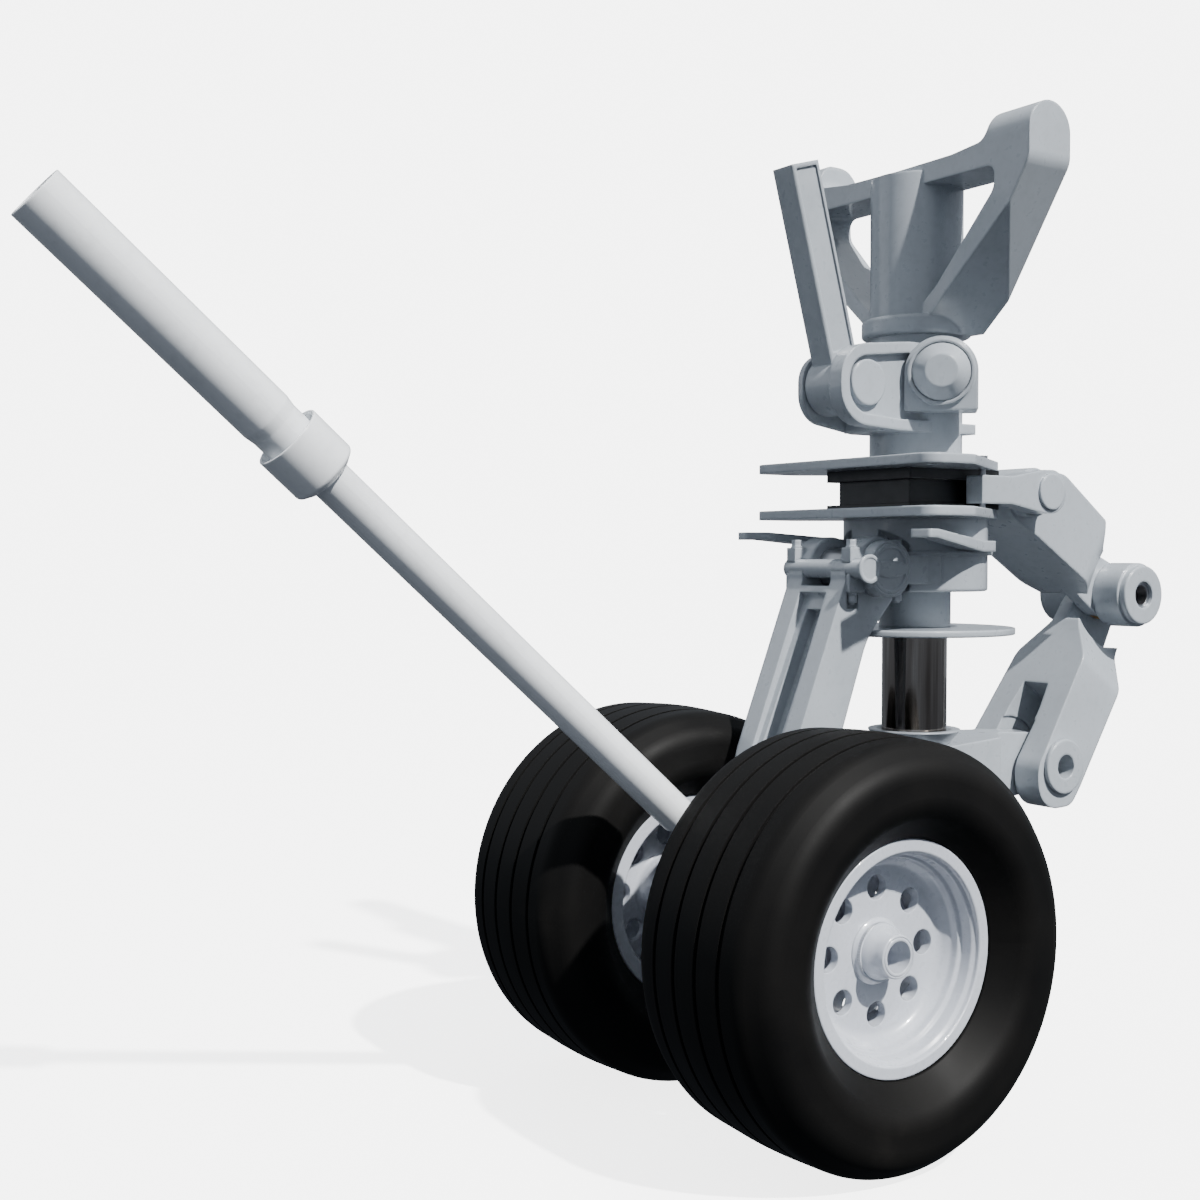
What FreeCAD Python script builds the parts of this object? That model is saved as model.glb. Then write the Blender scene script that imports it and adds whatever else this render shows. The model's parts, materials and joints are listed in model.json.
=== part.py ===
import FreeCAD, Part
import math
import os

# Twin-wheel nose landing gear leg with a telescopic bar, in millimetres.
# +X runs along the trunnion and the axle, +Y points aft, +Z is up.
# The origin is the middle of the trunnion axis, on the centre line of the leg.
# "Left" pieces lie at -X and "right" pieces at +X.

# ---- driving dimensions -------------------------------------------------
RUNNING_FIT = 0.05
CLEARANCE = 0.5

# trunnion yoke
LUG_OUTER_X = 346.0
LUG_INNER_X = 244.0
LUG_RADIUS = 57.5
CROSSBAR_TOP = -13.0
CROSSBAR_BOTTOM = -52.0
YOKE_BOTTOM = -353.0
HUB_TOP = -314.0
HUB_RADIUS = 112.0

# shock strut
CYLINDER_RADIUS = 95.0
NECK_RADIUS = 80.0
NOSE_RADIUS = 74.0
BORE_RADIUS = 70.0
BORE_TOP = -60.0
NECK_TOP = -607.5
NECK_BOTTOM = -868.0
NOSE_BOTTOM = -950.0
FLANGE_RADIUS = 204.0
FLANGE_THICKNESS = 14.0
PISTON_RADIUS = 67.0
PISTON_BORE = 52.0
PISTON_TOP = -640.0
PISTON_BOTTOM = -1190.0

# forward lugs and the square link post
POST_PIN_Y = -213.0
POST_PIN_Z = -462.0
POST_LEAN = 15.6
POST_LENGTH = 440.0
POST_WIDTH_X = 60.0
POST_WIDTH_Y = 72.0
POST_BOSS_RADIUS = 60.0
POST_PIN_RADIUS = 30.0
LUG_PLATE_INNER = 50.0
LUG_PLATE_OUTER = 86.0
FAR_LUG_INNER = -42.0
FAR_LUG_OUTER = -56.0
LUG_RADIUS_RIGHT = 74.0
LUG_RADIUS_LEFT = 61.0

# D-shaped side block, standing off the cylinder at 45 degrees
BLOCK_ANGLE = -45.0
BLOCK_OFFSET = 49.0
BLOCK_Z = -437.0
BLOCK_RADIUS = 72.0
BLOCK_FACE = 140.0

# steering plates and steering unit
PLATE_HALF_WIDTH = 262.0
PLATE_FRONT = -222.0
PLATE_REAR = 128.0
UPPER_PLATE_TOP = -608.0
LOWER_PLATE_TOP = -707.0
PLATE_THICKNESS = 19.0

# steering collar, clamps and drag arm
COLLAR_RADIUS = 148.0
COLLAR_TOP = LOWER_PLATE_TOP - PLATE_THICKNESS
COLLAR_BOTTOM = -875.0
SHAFT_Y = -190.0
SHAFT_Z = -828.0
SHAFT_RADIUS = 42.0
SHAFT_BOSS_RADIUS = 56.0
BOSS_INNER_X = 95.0
BOSS_OUTER_X = 124.0
CLAMP_INNER_X = 42.0
CLAMP_OUTER_X = 92.0
EAR_INNER_X = 69.0
EAR_OUTER_X = 94.0
TIE_Y = SHAFT_Y - 64.0
TIE_RADIUS = 19.0
CLAMP_BOLT_X = 81.0
CLAMP_BOLT_RADIUS = 6.0
REAR_BOLT_Y = SHAFT_Y + 58.0
ARM_HALF_WIDTH = 84.0
ARM_SLOPE = 0.40
ARM_DEPTH = 104.0
ARM_FRONT_Y = -273.0
ARM_FRONT_Z = -852.0
ARM_FOOT_Z = -1215.0

# telescopic bar
ELBOW_Y = -560.0
ELBOW_Z = -1338.4
ELBOW_RADIUS = 40.0
ELBOW_PIN_RADIUS = 16.0
BAR_ANGLE = 41.19
ROD_RADIUS = 35.0
BAR_TUBE_RADIUS = 47.0
BAR_TUBE_BORE = 38.0
BAR_COLLAR_RADIUS = 60.0
BAR_COLLAR_START = 1006.0
BAR_COLLAR_END = 1100.0
BAR_LENGTH = 1609.0
ROD_END = 1338.0

# torque links
UPPER_PIN_Y = 225.0
UPPER_PIN_Z = -669.0
LOWER_PIN_Y = 336.0
LOWER_PIN_Z = -1256.5
APEX_Y = 594.0
APEX_Z = -890.0
LINK_PIN_RADIUS = 24.0
APEX_PIN_RADIUS = 30.0
APEX_PLAY = 2.0
LOWER_LINK_HALF = 110.0
FORK_INNER_X = 46.0

# wheels and axle
AXLE_Y = -443.0
AXLE_Z = -1494.0
AXLE_RADIUS = 34.0
AXLE_BORE = 28.0
AXLE_END_X = 407.0
WHEEL_X = 295.4
TYRE_RADIUS = 381.0
TYRE_HALF_WIDTH = 176.5
RIM_RADIUS = 206.65
BEAD_RADIUS = 190.5
RIM_HALF_WIDTH = 126.0

Vec = FreeCAD.Vector
PARTS = {}


# ---- shape helpers ------------------------------------------------------
def box(x_low, x_high, y_low, y_high, z_low, z_high):
    corner = Vec(x_low, y_low, z_low)
    return Part.makeBox(x_high - x_low, y_high - y_low, z_high - z_low, corner)


def rod(start, end, radius):
    axis = end - start
    return Part.makeCylinder(radius, axis.Length, start, axis)


def cone(start, end, start_radius, end_radius):
    axis = end - start
    return Part.makeCone(start_radius, end_radius, axis.Length, start, axis)


def rod_x(x_low, x_high, y, z, radius):
    return rod(Vec(x_low, y, z), Vec(x_high, y, z), radius)


def rod_z(x, y, z_low, z_high, radius):
    return rod(Vec(x, y, z_low), Vec(x, y, z_high), radius)


def hexagon_z(x, y, z_low, z_high, radius):
    corners = []
    for step in range(7):
        angle = math.radians(60.0 * step)
        corners.append(Vec(x + radius * math.cos(angle), y + radius * math.sin(angle), z_low))
    return Part.Face(Part.makePolygon(corners)).extrude(Vec(0, 0, z_high - z_low))


def outline(corners):
    """Closed wire in the XY plane through (a, b, corner radius) points."""
    edges = []
    starts = []
    ends = []
    arcs = []
    count = len(corners)
    for index in range(count):
        before = Vec(corners[index - 1][0], corners[index - 1][1], 0)
        here = Vec(corners[index][0], corners[index][1], 0)
        after_corner = corners[(index + 1) % count]
        after = Vec(after_corner[0], after_corner[1], 0)
        radius = corners[index][2]
        inward = (before - here).normalize()
        outward = (after - here).normalize()
        if radius == 0:
            starts.append(here)
            ends.append(here)
            arcs.append(None)
            continue
        half_turn = inward.getAngle(outward) / 2.0
        reach = radius / math.tan(half_turn)
        centre_way = (inward + outward).normalize()
        centre = here + centre_way * (radius / math.sin(half_turn))
        first = here + inward * reach
        last = here + outward * reach
        middle = centre - centre_way * radius
        starts.append(first)
        ends.append(last)
        arcs.append(Part.Arc(first, middle, last).toShape())
    for index in range(count):
        if arcs[index] is not None:
            edges.append(arcs[index])
        following = starts[(index + 1) % count]
        if (following - ends[index]).Length > 1e-6:
            edges.append(Part.LineSegment(ends[index], following).toShape())
    return Part.Wire(edges)


def slab_x(corners, x_low, x_high):
    """Plate with a (y, z, radius) outline, between two x values."""
    face = Part.Face(outline(corners))
    face.Placement = FreeCAD.Placement(Vec(x_low, 0, 0), FreeCAD.Rotation(Vec(1, 1, 1), 120))
    return face.extrude(Vec(x_high - x_low, 0, 0))


def slab_y(corners, y_low, y_high):
    """Plate with an (x, z, radius) outline, between two y values."""
    face = Part.Face(outline(corners))
    face.Placement = FreeCAD.Placement(Vec(0, y_low, 0), FreeCAD.Rotation(Vec(1, 0, 0), 90))
    return face.extrude(Vec(0, y_high - y_low, 0))


def slab_z(corners, z_low, z_high):
    """Plate with an (x, y, radius) outline, between two z values."""
    face = Part.Face(outline(corners))
    face.translate(Vec(0, 0, z_low))
    return face.extrude(Vec(0, 0, z_high - z_low))


def turned_z(corners):
    """Solid turned about the leg's centre line from (radius, z, corner radius) points."""
    face = Part.Face(outline(corners))
    face.Placement = FreeCAD.Placement(Vec(0, 0, 0), FreeCAD.Rotation(Vec(1, 0, 0), 90))
    return face.revolve(Vec(0, 0, 0), Vec(0, 0, 1), 360)


def turned_x(corners, y, z):
    """Solid turned about an X-wise axis from (x, radius, corner radius) points."""
    face = Part.Face(outline(corners))
    solid = face.revolve(Vec(0, 0, 0), Vec(1, 0, 0), 360)
    solid.translate(Vec(0, y, z))
    return solid


def mirrored(shape):
    return shape.mirror(Vec(0, 0, 0), Vec(1, 0, 0))


def side_corners(x_values_outline):
    """Full outline symmetric about x = 0, from its right half."""
    left = []
    for a, b, radius in reversed(x_values_outline):
        if a > 1e-6:
            left.append((-a, b, radius))
    return x_values_outline + left


def turned_about(shape):
    """Copy for the other wheel: half a turn about the vertical line through the axle's middle."""
    copy = shape.copy()
    copy.rotate(Vec(0, AXLE_Y, 0), Vec(0, 0, 1), 180)
    return copy


def trim_beyond(shape, first, second, third, outside):
    """Cut away what lies past the plane of three points, on the side of "outside"."""
    normal = (second - first).cross(third - first).normalize()
    if normal.dot(outside - first) < 0:
        normal = normal * -1
    block = Part.makeBox(2000, 2000, 1000, Vec(-1000, -1000, 0))
    block.Placement = FreeCAD.Placement(first, FreeCAD.Rotation(Vec(0, 0, 1), normal))
    return shape.cut(block)


def soften(shape, radius, wanted):
    edges = [edge for edge in shape.Edges if wanted(edge)]
    return shape.makeFillet(radius, edges)


def on_plane(edge, axis, value):
    size = edge.BoundBox
    low = (size.XMin, size.YMin, size.ZMin)["xyz".index(axis)]
    high = (size.XMax, size.YMax, size.ZMax)["xyz".index(axis)]
    return abs(low - value) < 0.01 and abs(high - value) < 0.01


def keep(name, *solids):
    """Store one sub-part: one solid, or a group of separate ones."""
    bodies = []
    for shape in solids:
        cleaned = shape.removeSplitter()
        bodies.extend(cleaned.Solids)
    for body in bodies:
        if not body.isValid() or not body.isClosed() or body.Volume <= 0:
            raise ValueError(name + " is not a valid closed solid")
    PARTS[name] = bodies[0] if len(bodies) == 1 else Part.makeCompound(bodies)


# ---- main fitting -------------------------------------------------------
def yoke():
    half = [
        (0.0, CROSSBAR_TOP, 0.0),
        (150.0, CROSSBAR_TOP + 2.0, 120.0),
        (LUG_INNER_X - 7.0, -1.0, 26.0),
        (LUG_INNER_X, LUG_RADIUS, 14.0),
        (LUG_OUTER_X, LUG_RADIUS, 0.0),
        (LUG_OUTER_X, -55.0, 45.0),
        (184.0, -315.0, 30.0),
        (142.0, YOKE_BOTTOM, 12.0),
        (0.0, YOKE_BOTTOM, 0.0),
    ]
    body = slab_y(side_corners(half), -LUG_RADIUS, LUG_RADIUS)
    opening = [
        (0.0, CROSSBAR_BOTTOM, 0.0),
        (262.0, CROSSBAR_BOTTOM, 20.0),
        (260.0, -98.0, 40.0),
        (112.0, -262.0, 90.0),
        (48.0, HUB_TOP, 60.0),
        (0.0, HUB_TOP, 0.0),
    ]
    body = body.cut(slab_y(side_corners(opening), -90, 90))
    round_top = box(-400, 400, -LUG_RADIUS, LUG_RADIUS, -400, 0)
    round_top = round_top.fuse(rod_x(-400, 400, 0, 0, LUG_RADIUS))
    body = body.common(round_top)
    for side in (1, -1):
        upper = Vec(side * 300, -LUG_RADIUS, -129)
        lower = Vec(side * 113, -LUG_RADIUS, -299)
        back = Vec(side * 192, LUG_RADIUS, -299)
        body = trim_beyond(body, upper, lower, back, Vec(side * 600, -400, -400))
    return body


def lug_outline(radius, margin):
    """Side outline of a forward lug, shrunk by a margin."""
    front = POST_PIN_Y - radius + margin
    return [
        (-20.0, -373.0 - margin, 0.0),
        (-110.0, -375.0 - margin, 60.0),
        (front, POST_PIN_Z + radius - margin - 4.0, radius - margin - 1.0),
        (front, POST_PIN_Z - radius + margin - 6.0, radius - margin - 1.0),
        (-131.0, -552.0 + margin, 60.0),
        (-20.0, -552.0 + margin, 0.0),
    ]


def near_lug():
    """Right-hand lug: a flanged plate with a recessed web around the pin."""
    plate = slab_x(lug_outline(LUG_RADIUS_RIGHT, 0.0), LUG_PLATE_INNER, LUG_PLATE_OUTER)
    recess = slab_x(lug_outline(LUG_RADIUS_RIGHT, 22.0), LUG_PLATE_OUTER - 13.0, LUG_PLATE_OUTER + 1.0)
    tail = box(LUG_PLATE_INNER, LUG_PLATE_OUTER, -40, 86, -552, -531)
    return plate.cut(recess).fuse(tail)


def far_lug():
    """Left-hand lug and the web that joins both lugs below the link post."""
    plate = slab_x(lug_outline(LUG_RADIUS_LEFT, 0.0), FAR_LUG_OUTER, FAR_LUG_INNER)
    web = box(FAR_LUG_INNER - 1.0, LUG_PLATE_INNER + 1.0, -160, -40, -552, -534)
    return plate.fuse(web)


def main_fitting():
    cylinder = turned_z([
        (BORE_RADIUS, NOSE_BOTTOM, 0.0),
        (NOSE_RADIUS, NOSE_BOTTOM, 0.0),
        (NOSE_RADIUS, NECK_BOTTOM, 0.0),
        (NECK_RADIUS, NECK_BOTTOM, 0.0),
        (NECK_RADIUS, NECK_TOP, 0.0),
        (CYLINDER_RADIUS, NECK_TOP, 0.0),
        (CYLINDER_RADIUS, CROSSBAR_TOP - 12.0, 0.0),
        (40.0, CROSSBAR_TOP - 12.0, 0.0),
        (40.0, BORE_TOP, 0.0),
        (BORE_RADIUS, BORE_TOP, 0.0),
    ])
    hub = rod_z(0, 0, YOKE_BOTTOM, HUB_TOP, HUB_RADIUS)
    hub = soften(hub, 8.0, lambda edge: on_plane(edge, "z", YOKE_BOTTOM) or on_plane(edge, "z", HUB_TOP))
    body = yoke().fuse(hub)
    body = body.fuse(near_lug()).fuse(far_lug())
    bore = rod_z(0, 0, -700, BORE_TOP, BORE_RADIUS)
    mouth = rod_z(0, 0, BORE_TOP - 1, 60, 40)
    cap_seat = rod_z(0, 0, CROSSBAR_TOP - 12.0, 60, 53.0)
    body = body.cut(bore).cut(mouth).cut(cap_seat)
    body = body.fuse(cylinder)
    bush_hole = rod_x(-120, 120, POST_PIN_Y, POST_PIN_Z, 36.0)
    head_seat = rod_x(LUG_PLATE_OUTER - 13.0, 120, POST_PIN_Y, POST_PIN_Z, 47.0)
    return body.cut(bush_hole).cut(head_seat)


def cylinder_cap():
    return turned_z([
        (0.0, CROSSBAR_TOP - 40.0, 0.0),
        (40.0, CROSSBAR_TOP - 40.0, 0.0),
        (40.0, CROSSBAR_TOP - 12.0, 0.0),
        (52.0, CROSSBAR_TOP - 12.0, 0.0),
        (52.0, CROSSBAR_TOP - 3.0, 3.0),
        (10.0, CROSSBAR_TOP - 3.0, 0.0),
        (10.0, CROSSBAR_TOP - 25.0, 0.0),
        (0.0, CROSSBAR_TOP - 25.0, 0.0),
    ])


def charging_valve():
    base_z = CROSSBAR_TOP - 25.0
    stem = rod_z(0, 0, base_z, base_z + 30, 6.0)
    collar = hexagon_z(0, 0, base_z, base_z + 14, 9.5)
    return stem.fuse(collar)


def orifice_tube():
    return turned_z([
        (18.0, -700.0, 0.0),
        (26.0, -700.0, 0.0),
        (26.0, CROSSBAR_TOP - 40.0, 0.0),
        (22.0, CROSSBAR_TOP - 40.0, 0.0),
        (22.0, -690.0, 0.0),
        (18.0, -690.0, 0.0),
    ])


def lower_bearing():
    return turned_z([
        (PISTON_RADIUS + RUNNING_FIT, NOSE_BOTTOM, 0.0),
        (BORE_RADIUS, NOSE_BOTTOM, 0.0),
        (BORE_RADIUS, NOSE_BOTTOM + 70.0, 0.0),
        (PISTON_RADIUS + RUNNING_FIT, NOSE_BOTTOM + 70.0, 0.0),
    ])


def gland_flange():
    return turned_z([
        (PISTON_RADIUS + 0.4, NOSE_BOTTOM - FLANGE_THICKNESS, 0.0),
        (FLANGE_RADIUS, NOSE_BOTTOM - FLANGE_THICKNESS, 2.5),
        (FLANGE_RADIUS, NOSE_BOTTOM, 2.5),
        (PISTON_RADIUS + 0.4, NOSE_BOTTOM, 0.0),
    ])


def boss_place(distance, sideways, height):
    """Point on the side block: distance from the leg's centre line, along the block's axis."""
    angle = math.radians(BLOCK_ANGLE)
    out = Vec(math.cos(angle), math.sin(angle), 0)
    across = Vec(-math.sin(angle), math.cos(angle), 0)
    return out * distance + across * (BLOCK_OFFSET + sideways) + Vec(0, 0, height)


def boss_block(fitting):
    profile = outline([
        (-BLOCK_RADIUS, BLOCK_Z - 76.0, 3.0),
        (BLOCK_RADIUS, BLOCK_Z - 76.0, 3.0),
        (BLOCK_RADIUS, BLOCK_Z + BLOCK_RADIUS, BLOCK_RADIUS - 0.5),
        (-BLOCK_RADIUS, BLOCK_Z + BLOCK_RADIUS, BLOCK_RADIUS - 0.5),
    ])
    face = Part.Face(profile)
    face.rotate(Vec(0, 0, 0), Vec(1, 0, 0), 90)
    face.rotate(Vec(0, 0, 0), Vec(0, 0, 1), 90 + BLOCK_ANGLE)
    face.translate(boss_place(60, 0, 0))
    reach = boss_place(BLOCK_FACE, 0, 0) - boss_place(60, 0, 0)
    block = face.extrude(reach)
    rim = rod(boss_place(BLOCK_FACE - 1, 0, BLOCK_Z), boss_place(BLOCK_FACE + 7, 0, BLOCK_Z), 66.0)
    seat = rod(boss_place(BLOCK_FACE + 2, 0, BLOCK_Z), boss_place(BLOCK_FACE + 8, 0, BLOCK_Z), 59.0)
    envelope = rod_z(0, 0, -700, 0, CYLINDER_RADIUS)
    return block.fuse(rim).cut(seat).cut(envelope).cut(fitting)


def boss_cone():
    base = boss_place(BLOCK_FACE + 2, 0, BLOCK_Z)
    step = boss_place(BLOCK_FACE + 6, 0, BLOCK_Z)
    tip = boss_place(BLOCK_FACE + 30, 0, BLOCK_Z)
    return rod(base, step, 57.0).fuse(cone(step, tip, 57.0, 32.5))


def link_bush(flange_x, sleeve_x):
    """Flanged bush in a forward lug; the flange meets the post's boss."""
    flange = rod_x(*sorted((flange_x, flange_x + math.copysign(4.0, -flange_x))), POST_PIN_Y, POST_PIN_Z, 50.0)
    sleeve = rod_x(*sorted((flange_x, sleeve_x)), POST_PIN_Y, POST_PIN_Z, 36.0)
    hole = rod_x(-200, 200, POST_PIN_Y, POST_PIN_Z, POST_PIN_RADIUS)
    return flange.fuse(sleeve).cut(hole)


def link_pin():
    shank = rod_x(FAR_LUG_OUTER - 6.0, LUG_PLATE_OUTER - 13, POST_PIN_Y, POST_PIN_Z, POST_PIN_RADIUS)
    head = turned_x([
        (LUG_PLATE_OUTER - 13.0, 0.0, 0.0),
        (LUG_PLATE_OUTER - 13.0, 45.5, 0.0),
        (LUG_PLATE_OUTER - 1.0, 45.5, 2.5),
        (LUG_PLATE_OUTER - 1.0, 0.0, 0.0),
    ], POST_PIN_Y, POST_PIN_Z)
    far_head = rod_x(FAR_LUG_OUTER - 8.0, FAR_LUG_OUTER, POST_PIN_Y, POST_PIN_Z, 40.0)
    return shank.fuse(head).fuse(far_head)


# ---- square link post ---------------------------------------------------
def upper_link_post():
    half_x = POST_WIDTH_X / 2.0
    half_y = POST_WIDTH_Y / 2.0
    shaft = box(-half_x, half_x, -half_y, half_y, 0, POST_LENGTH)
    shaft = soften(shaft, 5.0, lambda edge: edge.BoundBox.ZLength > 100)
    panel = slab_x([
        (-half_y + 9.0, 70.0, 4.0),
        (half_y - 9.0, 70.0, 4.0),
        (half_y - 9.0, POST_LENGTH - 9.0, 4.0),
        (-half_y + 9.0, POST_LENGTH - 9.0, 4.0),
    ], half_x - 4.0, half_x + 1.0)
    shaft = shaft.cut(panel).cut(mirrored(panel))
    shaft = shaft.cut(rod_z(0, 0, POST_LENGTH - 60, POST_LENGTH + 1, 12.0))
    shaft.rotate(Vec(0, 0, 0), Vec(1, 0, 0), POST_LEAN)
    shaft.translate(Vec(0, POST_PIN_Y, POST_PIN_Z))
    boss = rod_x(FAR_LUG_INNER + 4.4, LUG_PLATE_INNER - 4.4, POST_PIN_Y, POST_PIN_Z, POST_BOSS_RADIUS)
    boss = soften(boss, 4.0, lambda edge: edge.BoundBox.XLength < 1)
    hole = rod_x(-60, 60, POST_PIN_Y, POST_PIN_Z, POST_PIN_RADIUS + RUNNING_FIT)
    return shaft.fuse(boss).cut(hole)


# ---- steering body ------------------------------------------------------
def steering_plate(top):
    half = [
        (0.0, PLATE_FRONT, 0.0),
        (PLATE_HALF_WIDTH, PLATE_FRONT, 35.0),
        (PLATE_HALF_WIDTH, -105.0, 30.0),
        (112.0, PLATE_REAR, 22.0),
        (0.0, PLATE_REAR, 0.0),
    ]
    plate = slab_z(side_corners(half), top - PLATE_THICKNESS, top)
    plate = soften(plate, 2.5, lambda edge: on_plane(edge, "z", top))
    plate = plate.cut(rod_z(0, 0, top - 60, top + 10, NECK_RADIUS + CLEARANCE))
    for side in (1, -1):
        plate = plate.cut(rod_z(side * 148, 40, top - 60, top + 10, 6.0))
        plate = plate.cut(rod_z(side * 205, -160, top - 60, top + 10, 11.0))
    return plate


def steering_box():
    top = UPPER_PLATE_TOP - PLATE_THICKNESS
    bottom = LOWER_PLATE_TOP
    upper_flange = box(-122, 122, -137, 119, top - 22, top)
    lower_flange = box(-122, 122, -137, 119, bottom, bottom + 10)
    middle = box(-103, 103, -119, 119, bottom, top)
    body = upper_flange.fuse(lower_flange).fuse(middle)
    body = soften(body, 3.0, lambda edge: edge.BoundBox.ZLength > 9)
    return body.cut(rod_z(0, 0, bottom - 1, top + 1, NECK_RADIUS + 6.0))


def torque_bracket():
    bar = box(-166, 166, 119.5, 147, -697, -640)
    cheek = slab_x([
        (20.0, -697.0, 3.0),
        (110.0, -697.0, 40.0),
        (UPPER_PIN_Y - 22.0, UPPER_PIN_Z - 45.0, 20.0),
        (UPPER_PIN_Y + 47.0, UPPER_PIN_Z - 46.0, 44.0),
        (UPPER_PIN_Y + 47.0, UPPER_PIN_Z + 46.0, 44.0),
        (UPPER_PIN_Y - 22.0, UPPER_PIN_Z + 45.0, 20.0),
        (110.0, -640.0, 60.0),
        (20.0, -640.0, 3.0),
    ], 123.0, 166.0)
    body = bar.fuse(cheek).fuse(mirrored(cheek))
    body = body.cut(rod_x(-170, 170, UPPER_PIN_Y, UPPER_PIN_Z, LINK_PIN_RADIUS))
    for side in (1, -1):
        body = body.cut(rod_z(side * 148, 40, -700, -630, 6.0))
    return body


def upper_torque_pin():
    shank = rod_x(-172, 172, UPPER_PIN_Y, UPPER_PIN_Z, LINK_PIN_RADIUS)
    head = turned_x([
        (166.0, 0.0, 0.0),
        (166.0, 38.0, 0.0),
        (172.0, 38.0, 2.0),
        (172.0, 0.0, 0.0),
    ], UPPER_PIN_Y, UPPER_PIN_Z)
    return shank.fuse(head).fuse(mirrored(head))


def plate_bolt(side):
    bottom = LOWER_PLATE_TOP - PLATE_THICKNESS
    shank = rod_z(side * 148, 40, bottom, UPPER_PLATE_TOP, 6.0)
    return shank.fuse(hexagon_z(side * 148, 40, UPPER_PLATE_TOP, UPPER_PLATE_TOP + 8, 10.5))


def steering_bush(z_low, z_high):
    outer = rod_z(0, 0, z_low, z_high, NECK_RADIUS + 6.0)
    return outer.cut(rod_z(0, 0, z_low - 1, z_high + 1, NECK_RADIUS + RUNNING_FIT))


def shaft_boss():
    """Right-hand boss that carries the cross shaft, joined to the collar by a band."""
    disc = rod_x(BOSS_INNER_X, BOSS_OUTER_X, SHAFT_Y, SHAFT_Z, SHAFT_BOSS_RADIUS)
    bridge = box(BOSS_INNER_X, BOSS_OUTER_X, SHAFT_Y, -60, -858, -802)
    pad = rod_z(0, 0, -858, -802, COLLAR_RADIUS + 5.0)
    pad = pad.common(box(BOSS_INNER_X, 200, -170, -64, -900, -700))
    boss = disc.fuse(bridge).fuse(pad)
    boss = boss.cut(box(90, 130, -300, SHAFT_Y - SHAFT_RADIUS - 1.2, -900, -750))
    return boss


def steering_collar():
    body = turned_z([
        (NECK_RADIUS + 6.0, COLLAR_BOTTOM + 6.5, 0.0),
        (NOSE_RADIUS + CLEARANCE, COLLAR_BOTTOM + 6.5, 0.0),
        (NOSE_RADIUS + CLEARANCE, COLLAR_BOTTOM, 0.0),
        (COLLAR_RADIUS, COLLAR_BOTTOM, 6.0),
        (COLLAR_RADIUS, -802.0, 0.0),
        (COLLAR_RADIUS + 10.0, -802.0, 0.0),
        (COLLAR_RADIUS + 10.0, -794.0, 0.0),
        (COLLAR_RADIUS, -794.0, 0.0),
        (COLLAR_RADIUS, COLLAR_TOP, 0.0),
        (NECK_RADIUS + 6.0, COLLAR_TOP, 0.0),
    ])
    for side in (1, -1):
        low, high = sorted((side * 38.0, side * (BOSS_INNER_X + 1.5)))
        body = body.cut(rod_x(low, high, SHAFT_Y, SHAFT_Z, 92.0))
    body = body.cut(box(-39, 39, -170, -144, -876, -790))
    boss = shaft_boss().cut(rod_z(0, 0, -900, -700, COLLAR_RADIUS - 12.0))
    body = body.fuse(boss).fuse(mirrored(boss))
    body = body.cut(rod_x(-200, 200, SHAFT_Y, SHAFT_Z, SHAFT_RADIUS + RUNNING_FIT))
    cap_seat = rod_x(BOSS_OUTER_X - 6.0, BOSS_OUTER_X + 1.0, SHAFT_Y, SHAFT_Z, 50.0)
    return body.cut(cap_seat).cut(mirrored(cap_seat))


def shaft_end_cap():
    """Disc closing a shaft boss, with a waisted raised band across its face."""
    cap = rod_x(BOSS_OUTER_X - 6.0, BOSS_OUTER_X, SHAFT_Y, SHAFT_Z, 50.0)
    for side in (1, -1):
        lens = rod_x(BOSS_OUTER_X - 2.5, BOSS_OUTER_X + 1, SHAFT_Y, SHAFT_Z, 42.0)
        lens = lens.cut(rod_x(0, 200, SHAFT_Y, SHAFT_Z - side * 110, 126.0))
        cap = cap.cut(lens)
    return cap.cut(box(90, 130, -300, SHAFT_Y - SHAFT_RADIUS - 1.2, -900, -750))


def steering_horn():
    """Right-hand horn: a plate that runs forward from the collar and steps up to a flat tip."""
    plan = slab_z([
        (242.0, -257.0, 6.0),
        (284.0, -246.0, 6.0),
        (174.0, 20.0, 20.0),
        (150.0, 80.0, 10.0),
        (100.0, 80.0, 0.0),
        (100.0, 10.0, 0.0),
        (150.0, -20.0, 20.0),
    ], -800, -740)
    side_view = slab_x([
        (-260.0, -768.0, 0.0),
        (-214.0, -768.0, 20.0),
        (10.0, -793.6, 30.0),
        (90.0, -793.6, 0.0),
        (90.0, -772.0, 0.0),
        (14.0, -772.0, 30.0),
        (-210.0, -752.0, 20.0),
        (-260.0, -752.0, 0.0),
    ], 80, 300)
    horn = plan.common(side_view)
    return horn.cut(rod_z(0, 0, -900, -700, COLLAR_RADIUS))


# ---- drag arm -----------------------------------------------------------
def arm_front(z):
    return ARM_FRONT_Y - ARM_SLOPE * (ARM_FRONT_Z - z)


def arm_channel(depth, half_width, top_z, bottom_z):
    """Recess along the front of the arm."""
    return slab_x([
        (arm_front(top_z) - 60.0, top_z + 60.0, 0.0),
        (arm_front(top_z) - 30.0, top_z, 0.0),
        (arm_front(top_z) + depth, top_z - 14.0, 10.0),
        (arm_front(bottom_z) + depth, bottom_z + 10.0, 20.0),
        (arm_front(bottom_z) - 60.0, bottom_z - 10.0, 0.0),
    ], -half_width, half_width)


def rear_channel(depth, half_width, top_z, bottom_z):
    """Recess along the back of the arm."""
    return slab_x([
        (arm_front(top_z) + ARM_DEPTH + 60.0, top_z + 20.0, 0.0),
        (arm_front(top_z) + ARM_DEPTH - depth, top_z, 10.0),
        (arm_front(bottom_z) + ARM_DEPTH - depth, bottom_z, 20.0),
        (arm_front(bottom_z) + ARM_DEPTH + 60.0, bottom_z - 20.0, 0.0),
    ], -half_width, half_width)


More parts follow.
